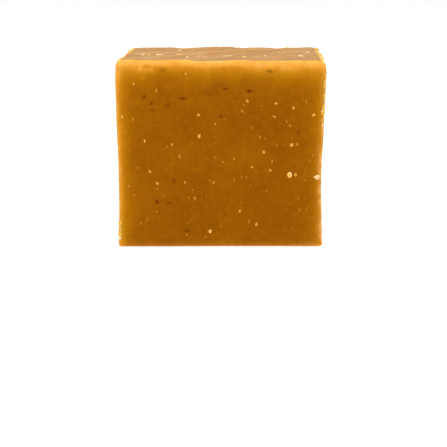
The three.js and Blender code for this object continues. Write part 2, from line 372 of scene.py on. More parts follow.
def skin_height(x, y):
    """How far the spread skin stands over its middle level: soft ridges, lower at the rim."""
    inside = np.minimum(HALF_WIDTH - np.abs(x), HALF_DEPTH - np.abs(y))
    hold = RIM_HOLD + (1 - RIM_HOLD) * smoothstep(inside, 0, RIM_REACH)
    along, across = stroke_coordinates(x, y)
    height = -SKIN_DIP * hold
    for i, (place, rise) in enumerate(RIDGES):
        off = across - place
        reach = np.where(off < 0, STEEP_REACH, GENTLE_REACH)
        fade = 1 - RIDGE_FADE + RIDGE_FADE * np.sin(along / RIDGE_LENGTH + i * RIDGE_TURN)
        height = height + hold * rise * fade * np.exp(-((off / reach) ** 2))
    return height


def side_wave(name, along, z):
    """How far the slow wave of a cut side stands out at a place on it."""
    rise, length, start, slant = SIDE_WAVES[name]
    return rise * np.sin(2 * math.pi * (z - start + slant * along) / length)


def fudge_points(plain):
    """The fudge's own form: waves and flare of the cut sides, ridges of the skin, underside flat."""
    points, away = rounded_points(plain)
    x, y, z = points.T
    u = x / HALF_WIDTH
    v = y / HALF_DEPTH
    flare = (1 + v) / 4 * (RIGHT_FLARE * (1 + u) - LEFT_FLARE * (1 - u))
    wave_x = u * np.where(u > 0, side_wave("right", y, z), side_wave("left", y, z))
    wave_y = v * np.where(v > 0, side_wave("back", x, z), side_wave("front", x, z))
    grip = smoothstep(z / HEIGHT, SKIN_GRIP, 1)
    skin = SKIN_TILT * v + skin_height(x, y)
    formed = np.stack([x + FRONT_SHIFT + flare + wave_x, y + wave_y, z + grip * skin], axis=1)
    return formed, away


def side_coordinates(name, plain):
    """Which points lie on a cut side, and their places along it."""
    (out_x, out_y), (way_x, way_y) = SIDES[name]
    depth = plain[:, 0] * out_x + plain[:, 1] * out_y
    half = HALF_WIDTH if out_x else HALF_DEPTH
    return depth > half - CLOSE, plain[:, 0] * way_x + plain[:, 1] * way_y


def side_place(name, along, height):
    """A place on the plain box from a place on a cut side."""
    (out_x, out_y), (way_x, way_y) = SIDES[name]
    return (out_x * HALF_WIDTH + way_x * along, out_y * HALF_DEPTH + way_y * along, height)


def scatter(draw, count, apart, margin):
    """Places spread over a cut side by the solid's rule, kept apart and clear of its edges."""
    places = []
    for _ in range(count * 60):
        if len(places) == count:
            break
        along = (next(draw) * 2 - 1) * (HALF_WIDTH - margin)
        height = margin + next(draw) * (HEIGHT - 2 * margin)
        if all(math.hypot(along - a, height - b) > apart for a, b in places):
            places.append((along, height))
    return places


def ruled_pits(draw):
    """Pits of a side by the solid's rule: place along, height, half width, half height, depth."""
    pits = []
    for along, height in scatter(draw, PIT_COUNT, PITS_APART, PIT_MARGIN):
        size = between(PIT_HALF_SIZE, next(draw) ** 2)
        flatness = between(PIT_FLATNESS, next(draw))
        depth = between(PIT_DEPTH, (size - PIT_HALF_SIZE[0]) / PIT_HALF_SIZE[1])
        pits.append((along, height, size, size * flatness, depth))
    return pits


def ruled_grains(draw):
    """Grains of a side by the solid's rule: place along, height, size, and how bright it is."""
    grains = []
    for along, height in scatter(draw, GRAIN_COUNT, PITS_APART, PIT_MARGIN):
        share = next(draw)
        grains.append((along, height, between(GRAIN_SIZE, share), between(GRAIN_TONE, share)))
    return grains


def ruled_crumbs(draw):
    """Crumbs along the uprights and the rim: place on the plain box, length, thickness and axis."""
    crumbs = []
    for cx, cy, height, length, thickness in SEEN_CRUMBS:
        crumbs.append(((cx * HALF_WIDTH, cy * HALF_DEPTH, height), length, thickness, 2))
    for (cx, cy), on_upright, _ in CORNERS:
        for _ in range(on_upright):
            height = CRUMB_CLEARANCE + next(draw) * (HEIGHT - TOP_RADIUS - 2 * CRUMB_CLEARANCE)
            length = between(CRUMB_LENGTH, next(draw))
            thickness = between(CRUMB_THICKNESS, next(draw))
            crumbs.append(((cx * HALF_WIDTH, cy * HALF_DEPTH, height), length, thickness, 2))
    for index, ((cx, cy), _, on_rim) in enumerate(CORNERS):
        for _ in range(on_rim):
            along = (next(draw) * 2 - 1) * (HALF_WIDTH - CRUMB_CLEARANCE)
            length = between(CRUMB_LENGTH, next(draw))
            axis = index % 2
            place = (along, cy * HALF_DEPTH, HEIGHT) if axis == 0 else (cx * HALF_WIDTH, along, HEIGHT)
            crumbs.append((place, length, between(CRUMB_THICKNESS, next(draw)), axis))
    return crumbs


def all_features():
    """Pits and grains of each side, and the crumbs, drawn in the solid's order."""
    draw = random_from(PLACE_SEED)
    pits, grains = {}, {}
    for side in SIDES:
        pits[side] = FRONT_DENTS if side == "front" else ruled_pits(draw)
        grains[side] = FRONT_GRAINS if side == "front" else ruled_grains(draw)
    return pits, grains, ruled_crumbs(draw)


PITS, GRAINS, CRUMBS = all_features()


def field(points, scale, octaves, seed):
    """Smooth random values, about -1 to 1, over points divided by one length or by one for each axis."""
    shifted = points / np.asarray(scale, float) + seed * 17.31
    return np.array([noise.fractal(Vector(p), 1.0, 2.0, octaves) for p in shifted])


def cells(points, scale, seed):
    """Distance to the nearest of scattered centres, 0 at a centre and about 1 between them."""
    shifted = points / scale + seed * 11.7
    return np.array([noise.voronoi(Vector(p))[0][0] for p in shifted])


def edge_distance(plain):
    """Distance over the plain box to its nearest edge."""
    gap_x = HALF_WIDTH - np.abs(plain[:, 0])
    gap_y = HALF_DEPTH - np.abs(plain[:, 1])
    gap_z = HEIGHT / 2 - np.abs(plain[:, 2] - HEIGHT / 2)
    return np.sort(np.stack([gap_x, gap_y, gap_z], axis=1), axis=1)[:, 1]


def near_pits(plain, band):
    """Points in the pits and around them, out to a band in shares of each pit's size."""
    found = np.zeros(len(plain), bool)
    for side, pits in PITS.items():
        on_side, along = side_coordinates(side, plain)
        for pit_along, height, half_width, half_height, _ in pits:
            reach = np.hypot((along - pit_along) / half_width, (plain[:, 2] - height) / half_height)
            found |= on_side & (reach < band)
    return found


def near_creases(plain):
    """The steep feet of the skin's ridges."""
    _, across = stroke_coordinates(plain[:, 0], plain[:, 1])
    off = np.min([np.abs(across - place + STEEP_REACH / 2) for place, _ in RIDGES], axis=0)
    return (plain[:, 2] > HEIGHT - CLOSE) & (off < CREASE_BAND)


def over_base(plain):
    """Points that do not lie on the underside."""
    return plain[:, 2] > CLOSE


def wants_detail(plain):
    """Where the grid is finest: at the edges, in the pits and along the creases, but not underneath."""
    fine = (edge_distance(plain) < EDGE_BAND) | near_pits(plain, PIT_BAND) | near_creases(plain)
    return over_base(plain) & fine


def halve(grid, wanted):
    """Halves the edges of the grid whose middle lies where more detail is wanted."""
    middles = np.array([(e.verts[0].co + e.verts[1].co) / 2 for e in grid.edges])
    picked = wanted(middles)
    edges = [e for e, pick in zip(grid.edges, picked) if pick]
    bmesh.ops.subdivide_edges(grid, edges=edges, cuts=1, use_grid_fill=True)


def plain_grid():
    """A triangle grid over the plain box, finest at the edges, the pits and the creases of the skin."""
    grid = bmesh.new()
    bmesh.ops.create_cube(grid, size=2)
    cuts = round(WIDTH / FIRST_CELL) - 1
    bmesh.ops.subdivide_edges(grid, edges=grid.edges[:], cuts=cuts, use_grid_fill=True)
    for v in grid.verts:
        v.co = Vector(HALF_SIZES * np.array(v.co)) + Vector((0, 0, HEIGHT / 2))
    halve(grid, over_base)
    halve(grid, wants_detail)
    bmesh.ops.triangulate(grid, faces=grid.faces[:])
    plain = np.array([v.co for v in grid.verts])
    faces = np.array([[v.index for v in f.verts] for f in grid.faces])
    grid.free()
    return plain, faces


def point_normals(points, faces):
    """Outward directions of a triangle mesh at its points."""
    a, b, c = (points[faces[:, i]] for i in range(3))
    face_normals = np.cross(b - a, c - a)
    normals = np.zeros_like(points)
    for i in range(3):
        np.add.at(normals, faces[:, i], face_normals)
    return normals / np.linalg.norm(normals, axis=1, keepdims=True)


def edge_gaps(plain):
    """Distances of the points to the planes of the plain box's sides and top."""
    return HALF_WIDTH - np.abs(plain[:, 0]), HALF_DEPTH - np.abs(plain[:, 1]), HEIGHT - plain[:, 2]


def edge_glow(plain, points):
    """Painted glow, standing in for light that comes through near the edges: unevenly deep below the top,
    less beside the uprights.
    """
    gap_x, gap_y, below_top = edge_gaps(plain)
    beside = np.maximum(gap_x, gap_y)
    uneven = 0.35 * field(points, (2.6, 2.6, 4.0), 2, 12) + 0.45 * field(points, (8.0, 8.0, 40.0), 1, 13)
    # Where the painted glow runs lower on the front
    in_low_glow = np.exp(-(((plain[:, 0] - LOW_GLOW_PLACE) / LOW_GLOW_REACH) ** 2)) * (plain[:, 1] < 0)
    glow_lowered = LOW_GLOW_DROP * in_low_glow * (0.5 + field(points, 0.9, 3, 15))
    deep = below_top - TOP_GLOW_DEPTH - uneven - glow_lowered
    from_top = np.exp(-0.5 * (deep + np.hypot(deep, TOP_GLOW_BEND)) / (TOP_GLOW_FADE + 0.5 * uneven))
    leftward = -plain[:, 0] / HALF_WIDTH
    inward = np.maximum(beside - UPRIGHT_GLOW_DEPTH, 0) / (UPRIGHT_GLOW_FADE + 0.3 * uneven)
    from_upright = (UPRIGHT_GLOW + GLOW_LEAN * leftward) * np.exp(-inward)
    from_base = (BASE_GLOW - GLOW_LEAN * leftward) * np.exp(-plain[:, 2] / BASE_GLOW_FADE)
    return 1 - (1 - from_top) * (1 - from_upright) * (1 - from_base)


def edge_tear(plain):
    """How torn the edges are: the knife left the front ones nearly whole, the right one less so."""
    near_front = smoothstep(-plain[:, 1], 2, 15)
    to_right = smoothstep(plain[:, 0], 8, HALF_WIDTH)
    below_rim = 1 - smoothstep(plain[:, 2], 27, 30)
    return 1 - near_front * (FRONT_KEPT - RIGHT_TORN * to_right * below_rim)


def pit_relief(plain, points):
    """Outward relief of the pits, the painted shade in and around each one, and how crumbly it is there.
    """
    relief = np.zeros(len(plain))
    shade = np.zeros(len(plain))
    crumbly = np.zeros(len(plain))
    for side, pits in PITS.items():
        on_side, along = side_coordinates(side, plain)
        torn = 0.0 if side == "front" else 1.0
        for pit_along, height, half_width, half_height, depth in pits:
            du = (along - pit_along) / half_width
            dz = (plain[:, 2] - height) / half_height
            near = np.flatnonzero(on_side & (np.hypot(du, dz) < PIT_REACH))
            ragged = field(points[near], 0.7, 4, 3)
            reach = np.hypot(du[near], dz[near]) * (1 + (0.4 + 0.5 * torn) * ragged) - 0.12 * dz[near]
            bowl = 1 - smoothstep(reach, 0.1, 1.15)
            lip = np.exp(-(((reach - LIP_PLACE) / LIP_WIDTH) ** 2)) * smoothstep(-dz[near], -0.3, 0.8)
            relief[near] += depth * (-bowl * (1 + 0.6 * ragged) + 0.15 * torn * lip)
            # Painted shade: darkest in the pit's upper part, which light from above misses, with a fainter
            # darkening around; deeper pits darker
            within = np.exp(-1.6 * reach ** 2) * smoothstep(dz[near], -1.6, 0.3)
            around = 0.3 * np.exp(-0.5 * reach ** 2)
            dark = np.minimum(within + around, 1) * min(1, 0.2 + 3 * depth)
            shade[near] = np.maximum(shade[near], dark)
            crumbly[near] = np.maximum(crumbly[near], 0.6 * torn * lip * smoothstep(ragged, -0.2, 0.3))
    return relief, shade, crumbly


def skin_creases(x, y):
    """Sharp folds at the steep feet of the ridges, 1 in a fold."""
    along, across = stroke_coordinates(x, y)
    fold = np.zeros_like(along)
    for i, (place, _) in enumerate(RIDGES):
        wander = CREASE_WANDER * np.sin(along / WANDER_LENGTH + 2 * i)
        broken = smoothstep(np.sin(along / BREAK_LENGTH + i * BREAK_TURN), 0.1, 0.9)
        off = (across - place + CREASE_OFFSET + wander) / CREASE_WIDTH
        fold = np.maximum(fold, broken * np.exp(-(off ** 2)))
    return fold


def crust_line(plain, points, away):
    """The granular pale crust beside the uprights, on the left and right faces."""
    uneven = field(points, (1.1, 1.1, 2.2), 2, 17)
    sideways = smoothstep(np.abs(away[:, 0]) + 0.25 * uneven, 0.42, 0.78)
    beside = 1 - smoothstep(HALF_DEPTH - np.abs(plain[:, 1]) - 0.6 * uneven, 0.3, 1.2)
    return sideways * beside * smoothstep(field(points, 0.6, 3, 14), -0.75, 0.35)


def body_relief(plain, points, away):
    """Outward relief over the whole block, with the marks that the materials read."""
    skin = smoothstep(away[:, 2] + 0.02 * field(points, (2.0, 0.7, 0.7), 2, 8), 0.93, 1.0)
    side = 1 - smoothstep(np.abs(away[:, 2]), 0.1, 0.5)
    edge = 1 - smoothstep(edge_distance(plain), 0.25, 1.3)
    base = 1 - smoothstep(-away[:, 2], 0.2, 0.7)
    x, y, z = points.T
    along, across = stroke_coordinates(x, y)
    strokes = np.stack([across, along, z], axis=1)
    relief = SLOW_RELIEF * field(points, 6.0, 2, 1)
    relief += FINE_RELIEF * field(points, 1.3, 3, 2) * (1 - 0.6 * skin)
    relief += side * DRAG_RELIEF * field(points, (0.9, 0.9, 8.0), 2, 4)
    folds = field(strokes, (3.0, 12.0, 9.0), 2, 5)
    relief += skin * FOLD_RELIEF * folds
    crease = skin * skin_creases(x, y) * smoothstep(edge_distance(plain), 0.5, 3.0)
    relief -= CREASE_DEPTH * crease
    chips = np.clip(field(points, 1.5, 3, 6), 0, 1)
    lumps = 0.5 - cells(points, 0.75, 7)
    crumble = edge * edge_tear(plain) * (1 - 0.55 * skin)
    relief += crumble * (LUMP_RELIEF * lumps - CHIP_DEPTH * chips)
    crust = crust_line(plain, points, away) * (1 - skin)
    relief += CRUST_RELIEF * crust
    pit, shade, crumbly = pit_relief(plain, points)
    relief = (relief + pit) * base
    crumbly = np.clip(np.maximum(crumbly, crumble * (0.25 + 0.9 * chips)), 0, 1)
    # Painted glow at the edges of the cut sides
    glow = edge_glow(plain, points) * (1 - skin)
    marks = {
        "skin": skin,
        # Painted shade in and around the pits, weaker in the painted glow, and in the skin's creases
        "shade": np.maximum(shade * (1 - 0.75 * glow), 0.6 * crease),
        "crumb": crumbly,
        "rind": crust,
        "glow": glow,
        # Height of the skin's ridges and folds, for the painted highlight on their tops
        "rise": smoothstep(skin_height(x, y) + 0.35 * folds, -0.35, 0.4),
    }
    return relief, marks


def new_piece(name, vertices, faces, materials, marks=None):
    """A smooth-shaded mesh object from millimetre arrays, riding on the body."""
    mesh = bpy.data.meshes.new(name)
    mesh.from_pydata((np.asarray(vertices) * MM).tolist(), [], np.asarray(faces).tolist())
    for material in materials:
        mesh.materials.append(material)
    for mark, values in (marks or {}).items():
        attribute = mesh.attributes.new(mark, "FLOAT", "POINT")
        attribute.data.foreach_set("value", np.asarray(values, np.float32))
    mesh.shade_smooth()
    mesh.update()
    piece = bpy.data.objects.new(name, mesh)
    bpy.context.scene.collection.objects.link(piece)
    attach(piece, BODY)
    return piece


class Maker:
    """Adds nodes to a material's tree, so that each material reads as a short list."""

    def __init__(self, name):
        self.material = bpy.data.materials.new(name)
        self.material.use_nodes = True
        self.tree = self.material.node_tree
        self.shader = self.tree.nodes["Principled BSDF"]
        self.place = self.tree.nodes.new("ShaderNodeTexCoord").outputs["Object"]

    def node(self, kind, inputs=None, **settings):
        made = self.tree.nodes.new(kind)
        for key, value in settings.items():
            setattr(made, key, value)
        for key, value in (inputs or {}).items():
            self.set(made.inputs[key], value)
        return made

    def set(self, socket, value):
        if isinstance(value, bpy.types.NodeSocket):
            self.tree.links.new(value, socket)
        else:
            socket.default_value = value

    def stretched(self, scale):
        return self.node("ShaderNodeMapping", {"Vector": self.place, "Scale": scale}).outputs["Vector"]

    def noise(self, length, detail=2.0, place=None, roughness=0.5):
        inputs = {
            "Vector": place or self.place,
            "Scale": 1 / (length * MM),
            "Detail": detail,
            "Roughness": roughness,
        }
        return self.node("ShaderNodeTexNoise", inputs).outputs["Fac"]

    def ramp(self, value, low, high, to_low=0.0, to_high=1.0):
        inputs = {"Value": value, "From Min": low, "From Max": high, "To Min": to_low, "To Max": to_high}
        return self.node("ShaderNodeMapRange", inputs).outputs["Result"]

    def patches(self, length, low, high, share):
        """Soft patches of a length that rise from 0 to a share between two levels of the noise."""
        return self.product(self.ramp(self.noise(length, 3.0), low, high), share)

    def math(self, operation, a, b):
        made = self.node("ShaderNodeMath", operation=operation)
        self.set(made.inputs[0], a)
        self.set(made.inputs[1], b)
        return made.outputs["Value"]

    def product(self, a, b):
        return self.math("MULTIPLY", a, b)

    def sum(self, a, b):
        return self.math("ADD", a, b)

    def mix(self, share, a, b):
        made = self.node("ShaderNodeMix", data_type="RGBA")
        self.set(made.inputs[0], share)
        self.set(made.inputs[6], a)
        self.set(made.inputs[7], b)
        return made.outputs[2]

    def mark(self, name):
        return self.node("ShaderNodeAttribute", attribute_name=name).outputs["Fac"]

    def bump(self, height, distance, strength=1.0, under=None):
        inputs = {"Height": height, "Distance": distance * MM, "Strength": strength}
        if under is not None:
            inputs["Normal"] = under
        return self.node("ShaderNodeBump", inputs).outputs["Normal"]

    def scatter(self, scale, radius, weight=1.0):
        self.shader.inputs["Subsurface Weight"].default_value = weight
        self.shader.inputs["Subsurface Radius"].default_value = radius
        self.shader.inputs["Subsurface Scale"].default_value = scale * MM


def color(red, green, blue):
    return (red, green, blue, 1.0)


# Linear colours
CUT_COLOR = color(0.35, 0.115, 0.0004)
CUT_PALE = color(0.45, 0.16, 0.002)
CUT_DEEP = color(0.31, 0.094, 0.0003)
# Painted shade in the pits and skin creases, and also the darker specks of the cut fudge
SHADE_COLOR = color(0.21, 0.043, 0.0003)
# Colours of the painted glow at the edges
GLOW_LOW = color(0.82, 0.375, 0.004)
GLOW_HIGH = color(0.85, 0.44, 0.085)
CRUST_COLOR = color(0.95, 0.58, 0.20)
RIND_COLOR = color(0.63, 0.335, 0.075)
SKIN_COLOR = color(0.33, 0.135, 0.006)
# Painted highlight on the tops of the skin's ridges
SKIN_RIDGE_HIGHLIGHT = color(0.43, 0.21, 0.035)
GRAIN_FAINT = color(0.46, 0.17, 0.003)
GRAIN_BRIGHT = color(0.92, 0.50, 0.08)
GRAIN_CREAM = color(1.0, 0.76, 0.42)

# How far light spreads in the fudge, and in its small crumbs and grains
BODY_SCATTER = (1.0, 0.55, 0.2)
SMALL_SCATTER = (1.0, 0.9, 0.8)


def cut_color(m):
    """Colour of the cut fudge: mottled, with pale clouds and specks and some darker ones."""
    mottled = m.mix(m.ramp(m.noise(5.0, 3.0), 0.35, 0.65), CUT_DEEP, CUT_COLOR)
    cloudy = m.mix(m.patches(1.4, 0.5, 0.72, 0.35), mottled, CUT_PALE)
    speckled = m.mix(m.patches(0.5, 0.56, 0.72, 0.6), cloudy, CUT_PALE)
    return m.mix(m.patches(0.9, 0.56, 0.74, 0.22), speckled, SHADE_COLOR)


def fudge_color(m):
    """Colour all over: cut fudge with a painted glow at the edges and painted shade in dents and skin
    creases, pale crumbs, tan skin with a painted highlight on its ridges.
    """
    cut = cut_color(m)
    # Painted glow at the edges, a little lumpy
    lumps = m.ramp(m.noise(1.3, 3.0, m.stretched((1, 1, 0.6))), 0.3, 0.7, 0.86, 1.06)
    glow = m.product(m.mark("glow"), lumps)
    glow_color = m.mix(m.product(glow, m.product(glow, glow)), GLOW_LOW, GLOW_HIGH)
    glowing = m.mix(glow, cut, glow_color)
    # Painted highlight on the skin's ridge tops, darker skin in the troughs
    fold = m.product(m.mark("rise"), m.ramp(m.noise(2.5, 3.0), 0.3, 0.7, 0.6, 1.2))
    skinned = m.mix(m.mark("skin"), glowing, m.mix(fold, SKIN_COLOR, SKIN_RIDGE_HIGHLIGHT))
    # Painted shade in the pits and skin creases
    shaded = m.mix(m.product(m.mark("shade"), 0.7), skinned, SHADE_COLOR)
    crumbs = m.product(m.mark("crumb"), m.ramp(m.noise(0.5, 3.0), 0.35, 0.6, 0.35, 1.0))
    return m.mix(crumbs, m.mix(m.mark("rind"), shaded, RIND_COLOR), CRUST_COLOR)


def cut_material():
    """Knife-cut fudge: matt, faintly grainy, with upright drag marks."""
    m = Maker("fudge_cut")
    m.set(m.shader.inputs["Base Color"], fudge_color(m))
    m.set(m.shader.inputs["Roughness"], m.ramp(m.noise(1.2, 3.0), 0.3, 0.7, 0.45, 0.65))
    m.shader.inputs["Specular IOR Level"].default_value = 0.02
    m.scatter(1.3, BODY_SCATTER)
    drags = m.bump(m.noise(0.35, 2.0, m.stretched((1, 1, 0.12))), 0.05, 0.5)
    m.set(m.shader.inputs["Normal"], m.bump(m.noise(0.22, 3.0, roughness=0.6), 0.04, 0.5, drags))
    return m.material


def skin_material():
    """Spread skin: smooth and a little oily, turning matt where it rolls over the rim."""
    m = Maker("fudge_skin")
    m.set(m.shader.inputs["Base Color"], fudge_color(m))
    matt_share = m.ramp(m.mark("skin"), 0.0, 1.0, 1.0, 0.0)
    oily = m.ramp(m.noise(1.6, 3.0), 0.3, 0.7, 0.28, 0.42)
    m.set(m.shader.inputs["Roughness"], m.sum(oily, m.product(matt_share, 0.2)))
    m.shader.inputs["Specular IOR Level"].default_value = 0.12
    m.scatter(1.2, BODY_SCATTER)
    m.set(m.shader.inputs["Normal"], m.bump(m.noise(0.4, 3.0), 0.03, 0.4))
    return m.material


def small_material(name, roughness, specular):
    """Grains and crumbs: each piece has its own tone, from faint through bright to cream."""
    m = Maker(name)
    tone = m.product(m.mark("tone"), m.ramp(m.noise(0.5, 2.0), 0.3, 0.7, 0.8, 1.1))
    bright = m.mix(m.ramp(tone, 0.0, 0.7), GRAIN_FAINT, GRAIN_BRIGHT)
    m.set(m.shader.inputs["Base Color"], m.mix(m.ramp(tone, 0.7, 1.0), bright, GRAIN_CREAM))
    m.set(m.shader.inputs["Roughness"], m.ramp(m.noise(0.3), 0.3, 0.7, roughness - 0.1, roughness + 0.1))
    m.shader.inputs["Specular IOR Level"].default_value = specular
    m.scatter(0.15, SMALL_SCATTER, 0.2)
    m.set(m.shader.inputs["Normal"], m.bump(m.noise(0.12, 3.0), 0.03, 0.5))
    return m.material


def make_body():
    """The fudge itself, which stands for the solid."""
    plain, faces = plain_grid()
    points, away = fudge_points(plain)
    relief, marks = body_relief(plain, points, away)
    points = points + point_normals(points, faces) * relief[:, None]
    points[:, 2] = np.maximum(points[:, 2], 0)
    piece = new_piece("fudge_body", points, faces, [cut_material(), skin_material()], marks)
    on_skin = away[:, 2][faces].mean(axis=1) > RIM_TURN
    piece.data.polygons.foreach_set("material_index", on_skin.astype(np.int32))
    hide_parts(NODE)
    return BVHTree.FromPolygons(points.tolist(), faces.tolist())


def ball(detail):
    """Vertices and faces of a ball of radius 1."""
    shape = bmesh.new()
    bmesh.ops.create_icosphere(shape, subdivisions=detail, radius=1)
    vertices = np.array([v.co for v in shape.verts])
    faces = np.array([[v.index for v in f.verts] for f in shape.faces])
    shape.free()
    return vertices, faces


def ring(tube, steps=20, turns=10):
    """Vertices and faces of a ring of radius 1 around the third axis."""
    around, through = np.meshgrid(np.arange(steps), np.arange(turns), indexing="ij")
    big = around.ravel() * 2 * math.pi / steps
    small = through.ravel() * 2 * math.pi / turns
    reach = 1 + tube * np.cos(small)
    vertices = np.stack([reach * np.cos(big), reach * np.sin(big), tube * np.sin(small)], axis=1)
    faces = []
    for i in range(steps):
        for j in range(turns):
            a, b = i * turns + j, (i + 1) % steps * turns + j
            c, d = (i + 1) % steps * turns + (j + 1) % turns, i * turns + (j + 1) % turns
            faces += [(a, b, c), (a, c, d)]
    return vertices, np.array(faces)


def leaf():
    """Vertices and faces of a ball drawn out to a blunt point at one end."""
    vertices, faces = ball(2)
    vertices[:, 1] *= 0.3 + 0.7 * smoothstep(vertices[:, 0], -1.0, 0.3)
    return vertices, faces


def joined(name, shapes, material):
    """One piece from many small closed shapes, each with its tone."""
    vertices, faces, tones, start = [], [], [], 0
    for shape_vertices, shape_faces, tone in shapes:
        vertices.append(shape_vertices)
        faces.append(shape_faces + start)
        tones.append(np.full(len(shape_vertices), tone))
        start += len(shape_vertices)
    marks = {"tone": np.concatenate(tones)}
    return new_piece(name, np.concatenate(vertices), np.concatenate(faces), [material], marks)


def frame_on(surface, near, turn):
    """Where a small thing sits on the surface near a point, and its axes: two along it, then outward."""
    place, normal, _, _ = surface.find_nearest(Vector(near))
    up = Vector((0, 0, 1)) if abs(normal.z) < 0.9 else Vector((0, 1, 0))
    turned = Matrix.Rotation(-turn, 3, normal)
    across = turned @ up.cross(normal).normalized()
    upward = turned @ normal.cross(up.cross(normal)).normalized()
    return np.array(place), np.array([across, upward, normal])


class Strewer:
    """Sets small uneven shapes on the surface and keeps them for one piece."""

    def __init__(self, surface, seed):
        self.surface = surface
        self.rng = np.random.default_rng(seed)
        self.shapes = []

    def add(self, near, half_sizes, tone, turn=0.0, stand=0.4, shape=None, amount=0.3):
        """Adds one shape, half sunk, which stands out by a share of its thickness."""
        vertices, faces = shape or ball(1 if max(half_sizes) < 0.3 else 2)
        vertices = vertices * (1 + amount * field(vertices, 0.9, 2, self.rng.uniform(0, 90)))[:, None]
        place, axes = frame_on(self.surface, near, turn)
        sized = vertices * np.asarray(half_sizes)
        sized[:, 2] += half_sizes[2] * (2 * stand - 1)
        self.shapes.append((place + sized @ axes, faces, tone))


def on_fudge(place):
    """The point of the fudge's own form for a place on the plain box."""
    return fudge_points(np.array([place], float))[0][0]


def on_side(side, along, height):
    """The same for a place on a cut side."""
    return on_fudge(side_place(side, along, height))


def add_cluster(strewer, side, along, height, size, tone):
    """A grain with two smaller ones grown against it."""
    rng = strewer.rng
    half_sizes = size * np.array(GRAIN_SHAPE)
    strewer.add(on_side(side, along, height), half_sizes, tone, turn=rng.normal(0, 0.5))
    for _ in range(2):
        angle = rng.uniform(0, 2 * math.pi)
        near = on_side(side, along + 0.8 * size * math.cos(angle), height + 0.8 * size * math.sin(angle))
        half_sizes = size * rng.uniform(*GROWN_SIZE) * np.array(GROWN_SHAPE)
        strewer.add(near, half_sizes, tone * rng.uniform(*GROWN_TONE), turn=rng.normal(0, 0.8))


def add_grain(strewer, side, place, kind):
    """One small grain of a kind."""
    rng = strewer.rng
    size, shape, tone, spread, stand = kind
    half_sizes = rng.uniform(*size) * np.array(shape)
    strewer.add(on_side(side, *place), half_sizes, rng.uniform(*tone), rng.normal(0, spread), stand)


def add_streak(strewer, side, place, turn):
    """A thin needle of sugar, turned from upright by degrees."""
    rng = strewer.rng
    half_sizes = (rng.uniform(*STREAK_WIDTH), rng.uniform(*STREAK_LENGTH), STREAK_THICKNESS)
    strewer.add(on_side(side, *place), half_sizes, rng.uniform(*STREAK_TONE), -math.radians(turn), 0.3)


def add_crystals(strewer, side, pit):
    """Crystals bared in a torn pit, most of them at its lower rim."""
    rng = strewer.rng
    along, height, half_width, half_height, _ = pit
    for _ in range(round(4 + 5 * half_width)):
        angle = rng.normal(-math.pi / 2, 1.1)
        reach = rng.uniform(0.35, 1.15)
        beside = reach * half_width * math.cos(angle)
        above = reach * half_height * math.sin(angle)
        near = on_side(side, along + beside, height + above)
        half_sizes = rng.uniform(*CRYSTAL_SIZE) * np.array(CRYSTAL_SHAPE)
        strewer.add(near, half_sizes, rng.uniform(*CRYSTAL_TONE), turn=rng.uniform(0, 3))


def strewn(rng, count):
    """Places for grains over a side that the photo does not show."""
    return [(rng.uniform(-1, 1) * (HALF_WIDTH - 1), rng.uniform(1, HEIGHT - 2)) for _ in range(count)]


def add_side_grains(strewer, side):
    """The grains of one cut side: where they are seen on the front, and as many on each other side."""
    rng = strewer.rng
    seen = side == "front"
    for along, height, size, tone in GRAINS[side][SHAPED_GRAINS if seen else 0:]:
        add_cluster(strewer, side, along, height, GRAIN_SHRINK * size, tone)
    for place in BRIGHT_GRAINS if seen else strewn(rng, len(BRIGHT_GRAINS)):
        add_cluster(strewer, side, *place, rng.uniform(*BRIGHT_SIZE), rng.uniform(*BRIGHT_TONE))
    for pit in [] if seen else PITS[side]:
        add_crystals(strewer, side, pit)
    for place in PALE_GRAINS if seen else strewn(rng, len(PALE_GRAINS)):
        add_grain(strewer, side, place, PALE_KIND)
    for place in strewn(rng, FAINT_GRAINS):
        add_grain(strewer, side, place, FAINT_KIND)
    turns = [turn for _, _, turn in STREAK_GRAINS]
    places = [(along, height) for along, height, _ in STREAK_GRAINS]
    for place, turn in zip(places if seen else strewn(rng, len(places)), turns):
        add_streak(strewer, side, place, turn)


def add_ring_grain(strewer, along, height, size, tone):
    """The round grain with a shallow hollow: a ring around a flatter, duller middle."""
    near = on_side("front", along, height)
    around = size * np.array([0.58, 0.64, 0.6])
    strewer.add(near, around, tone, stand=0.45, shape=ring(0.5), amount=0.12)
    strewer.add(near, size * np.array([0.5, 0.5, 0.3]), 0.7 * tone)


def add_flake(strewer, along, height, size, tone):
    """The pointed flake at the right edge, with a small hole near its blunt end."""
    flat = size * np.array([0.85, 0.6, 0.4])
    strewer.add(on_side("front", along, height), flat, tone, turn=0.1, shape=leaf(), amount=0.12)
    near = on_side("front", along + 0.3 * size, height)
    hole = size * np.array([0.2, 0.2, 0.6])
    strewer.add(near, hole, tone, stand=0.9, shape=ring(0.5), amount=0.12)


def make_grains(surface):
    """Sugar grains in the cut sides."""
    strewer = Strewer(surface, 31)
    for side in SIDES:
        add_side_grains(strewer, side)
    add_ring_grain(strewer, *FRONT_GRAINS[0])
    add_flake(strewer, *FRONT_GRAINS[1])
    return joined("sugar_grains", strewer.shapes, small_material("sugar_grain", 0.5, 0.06))


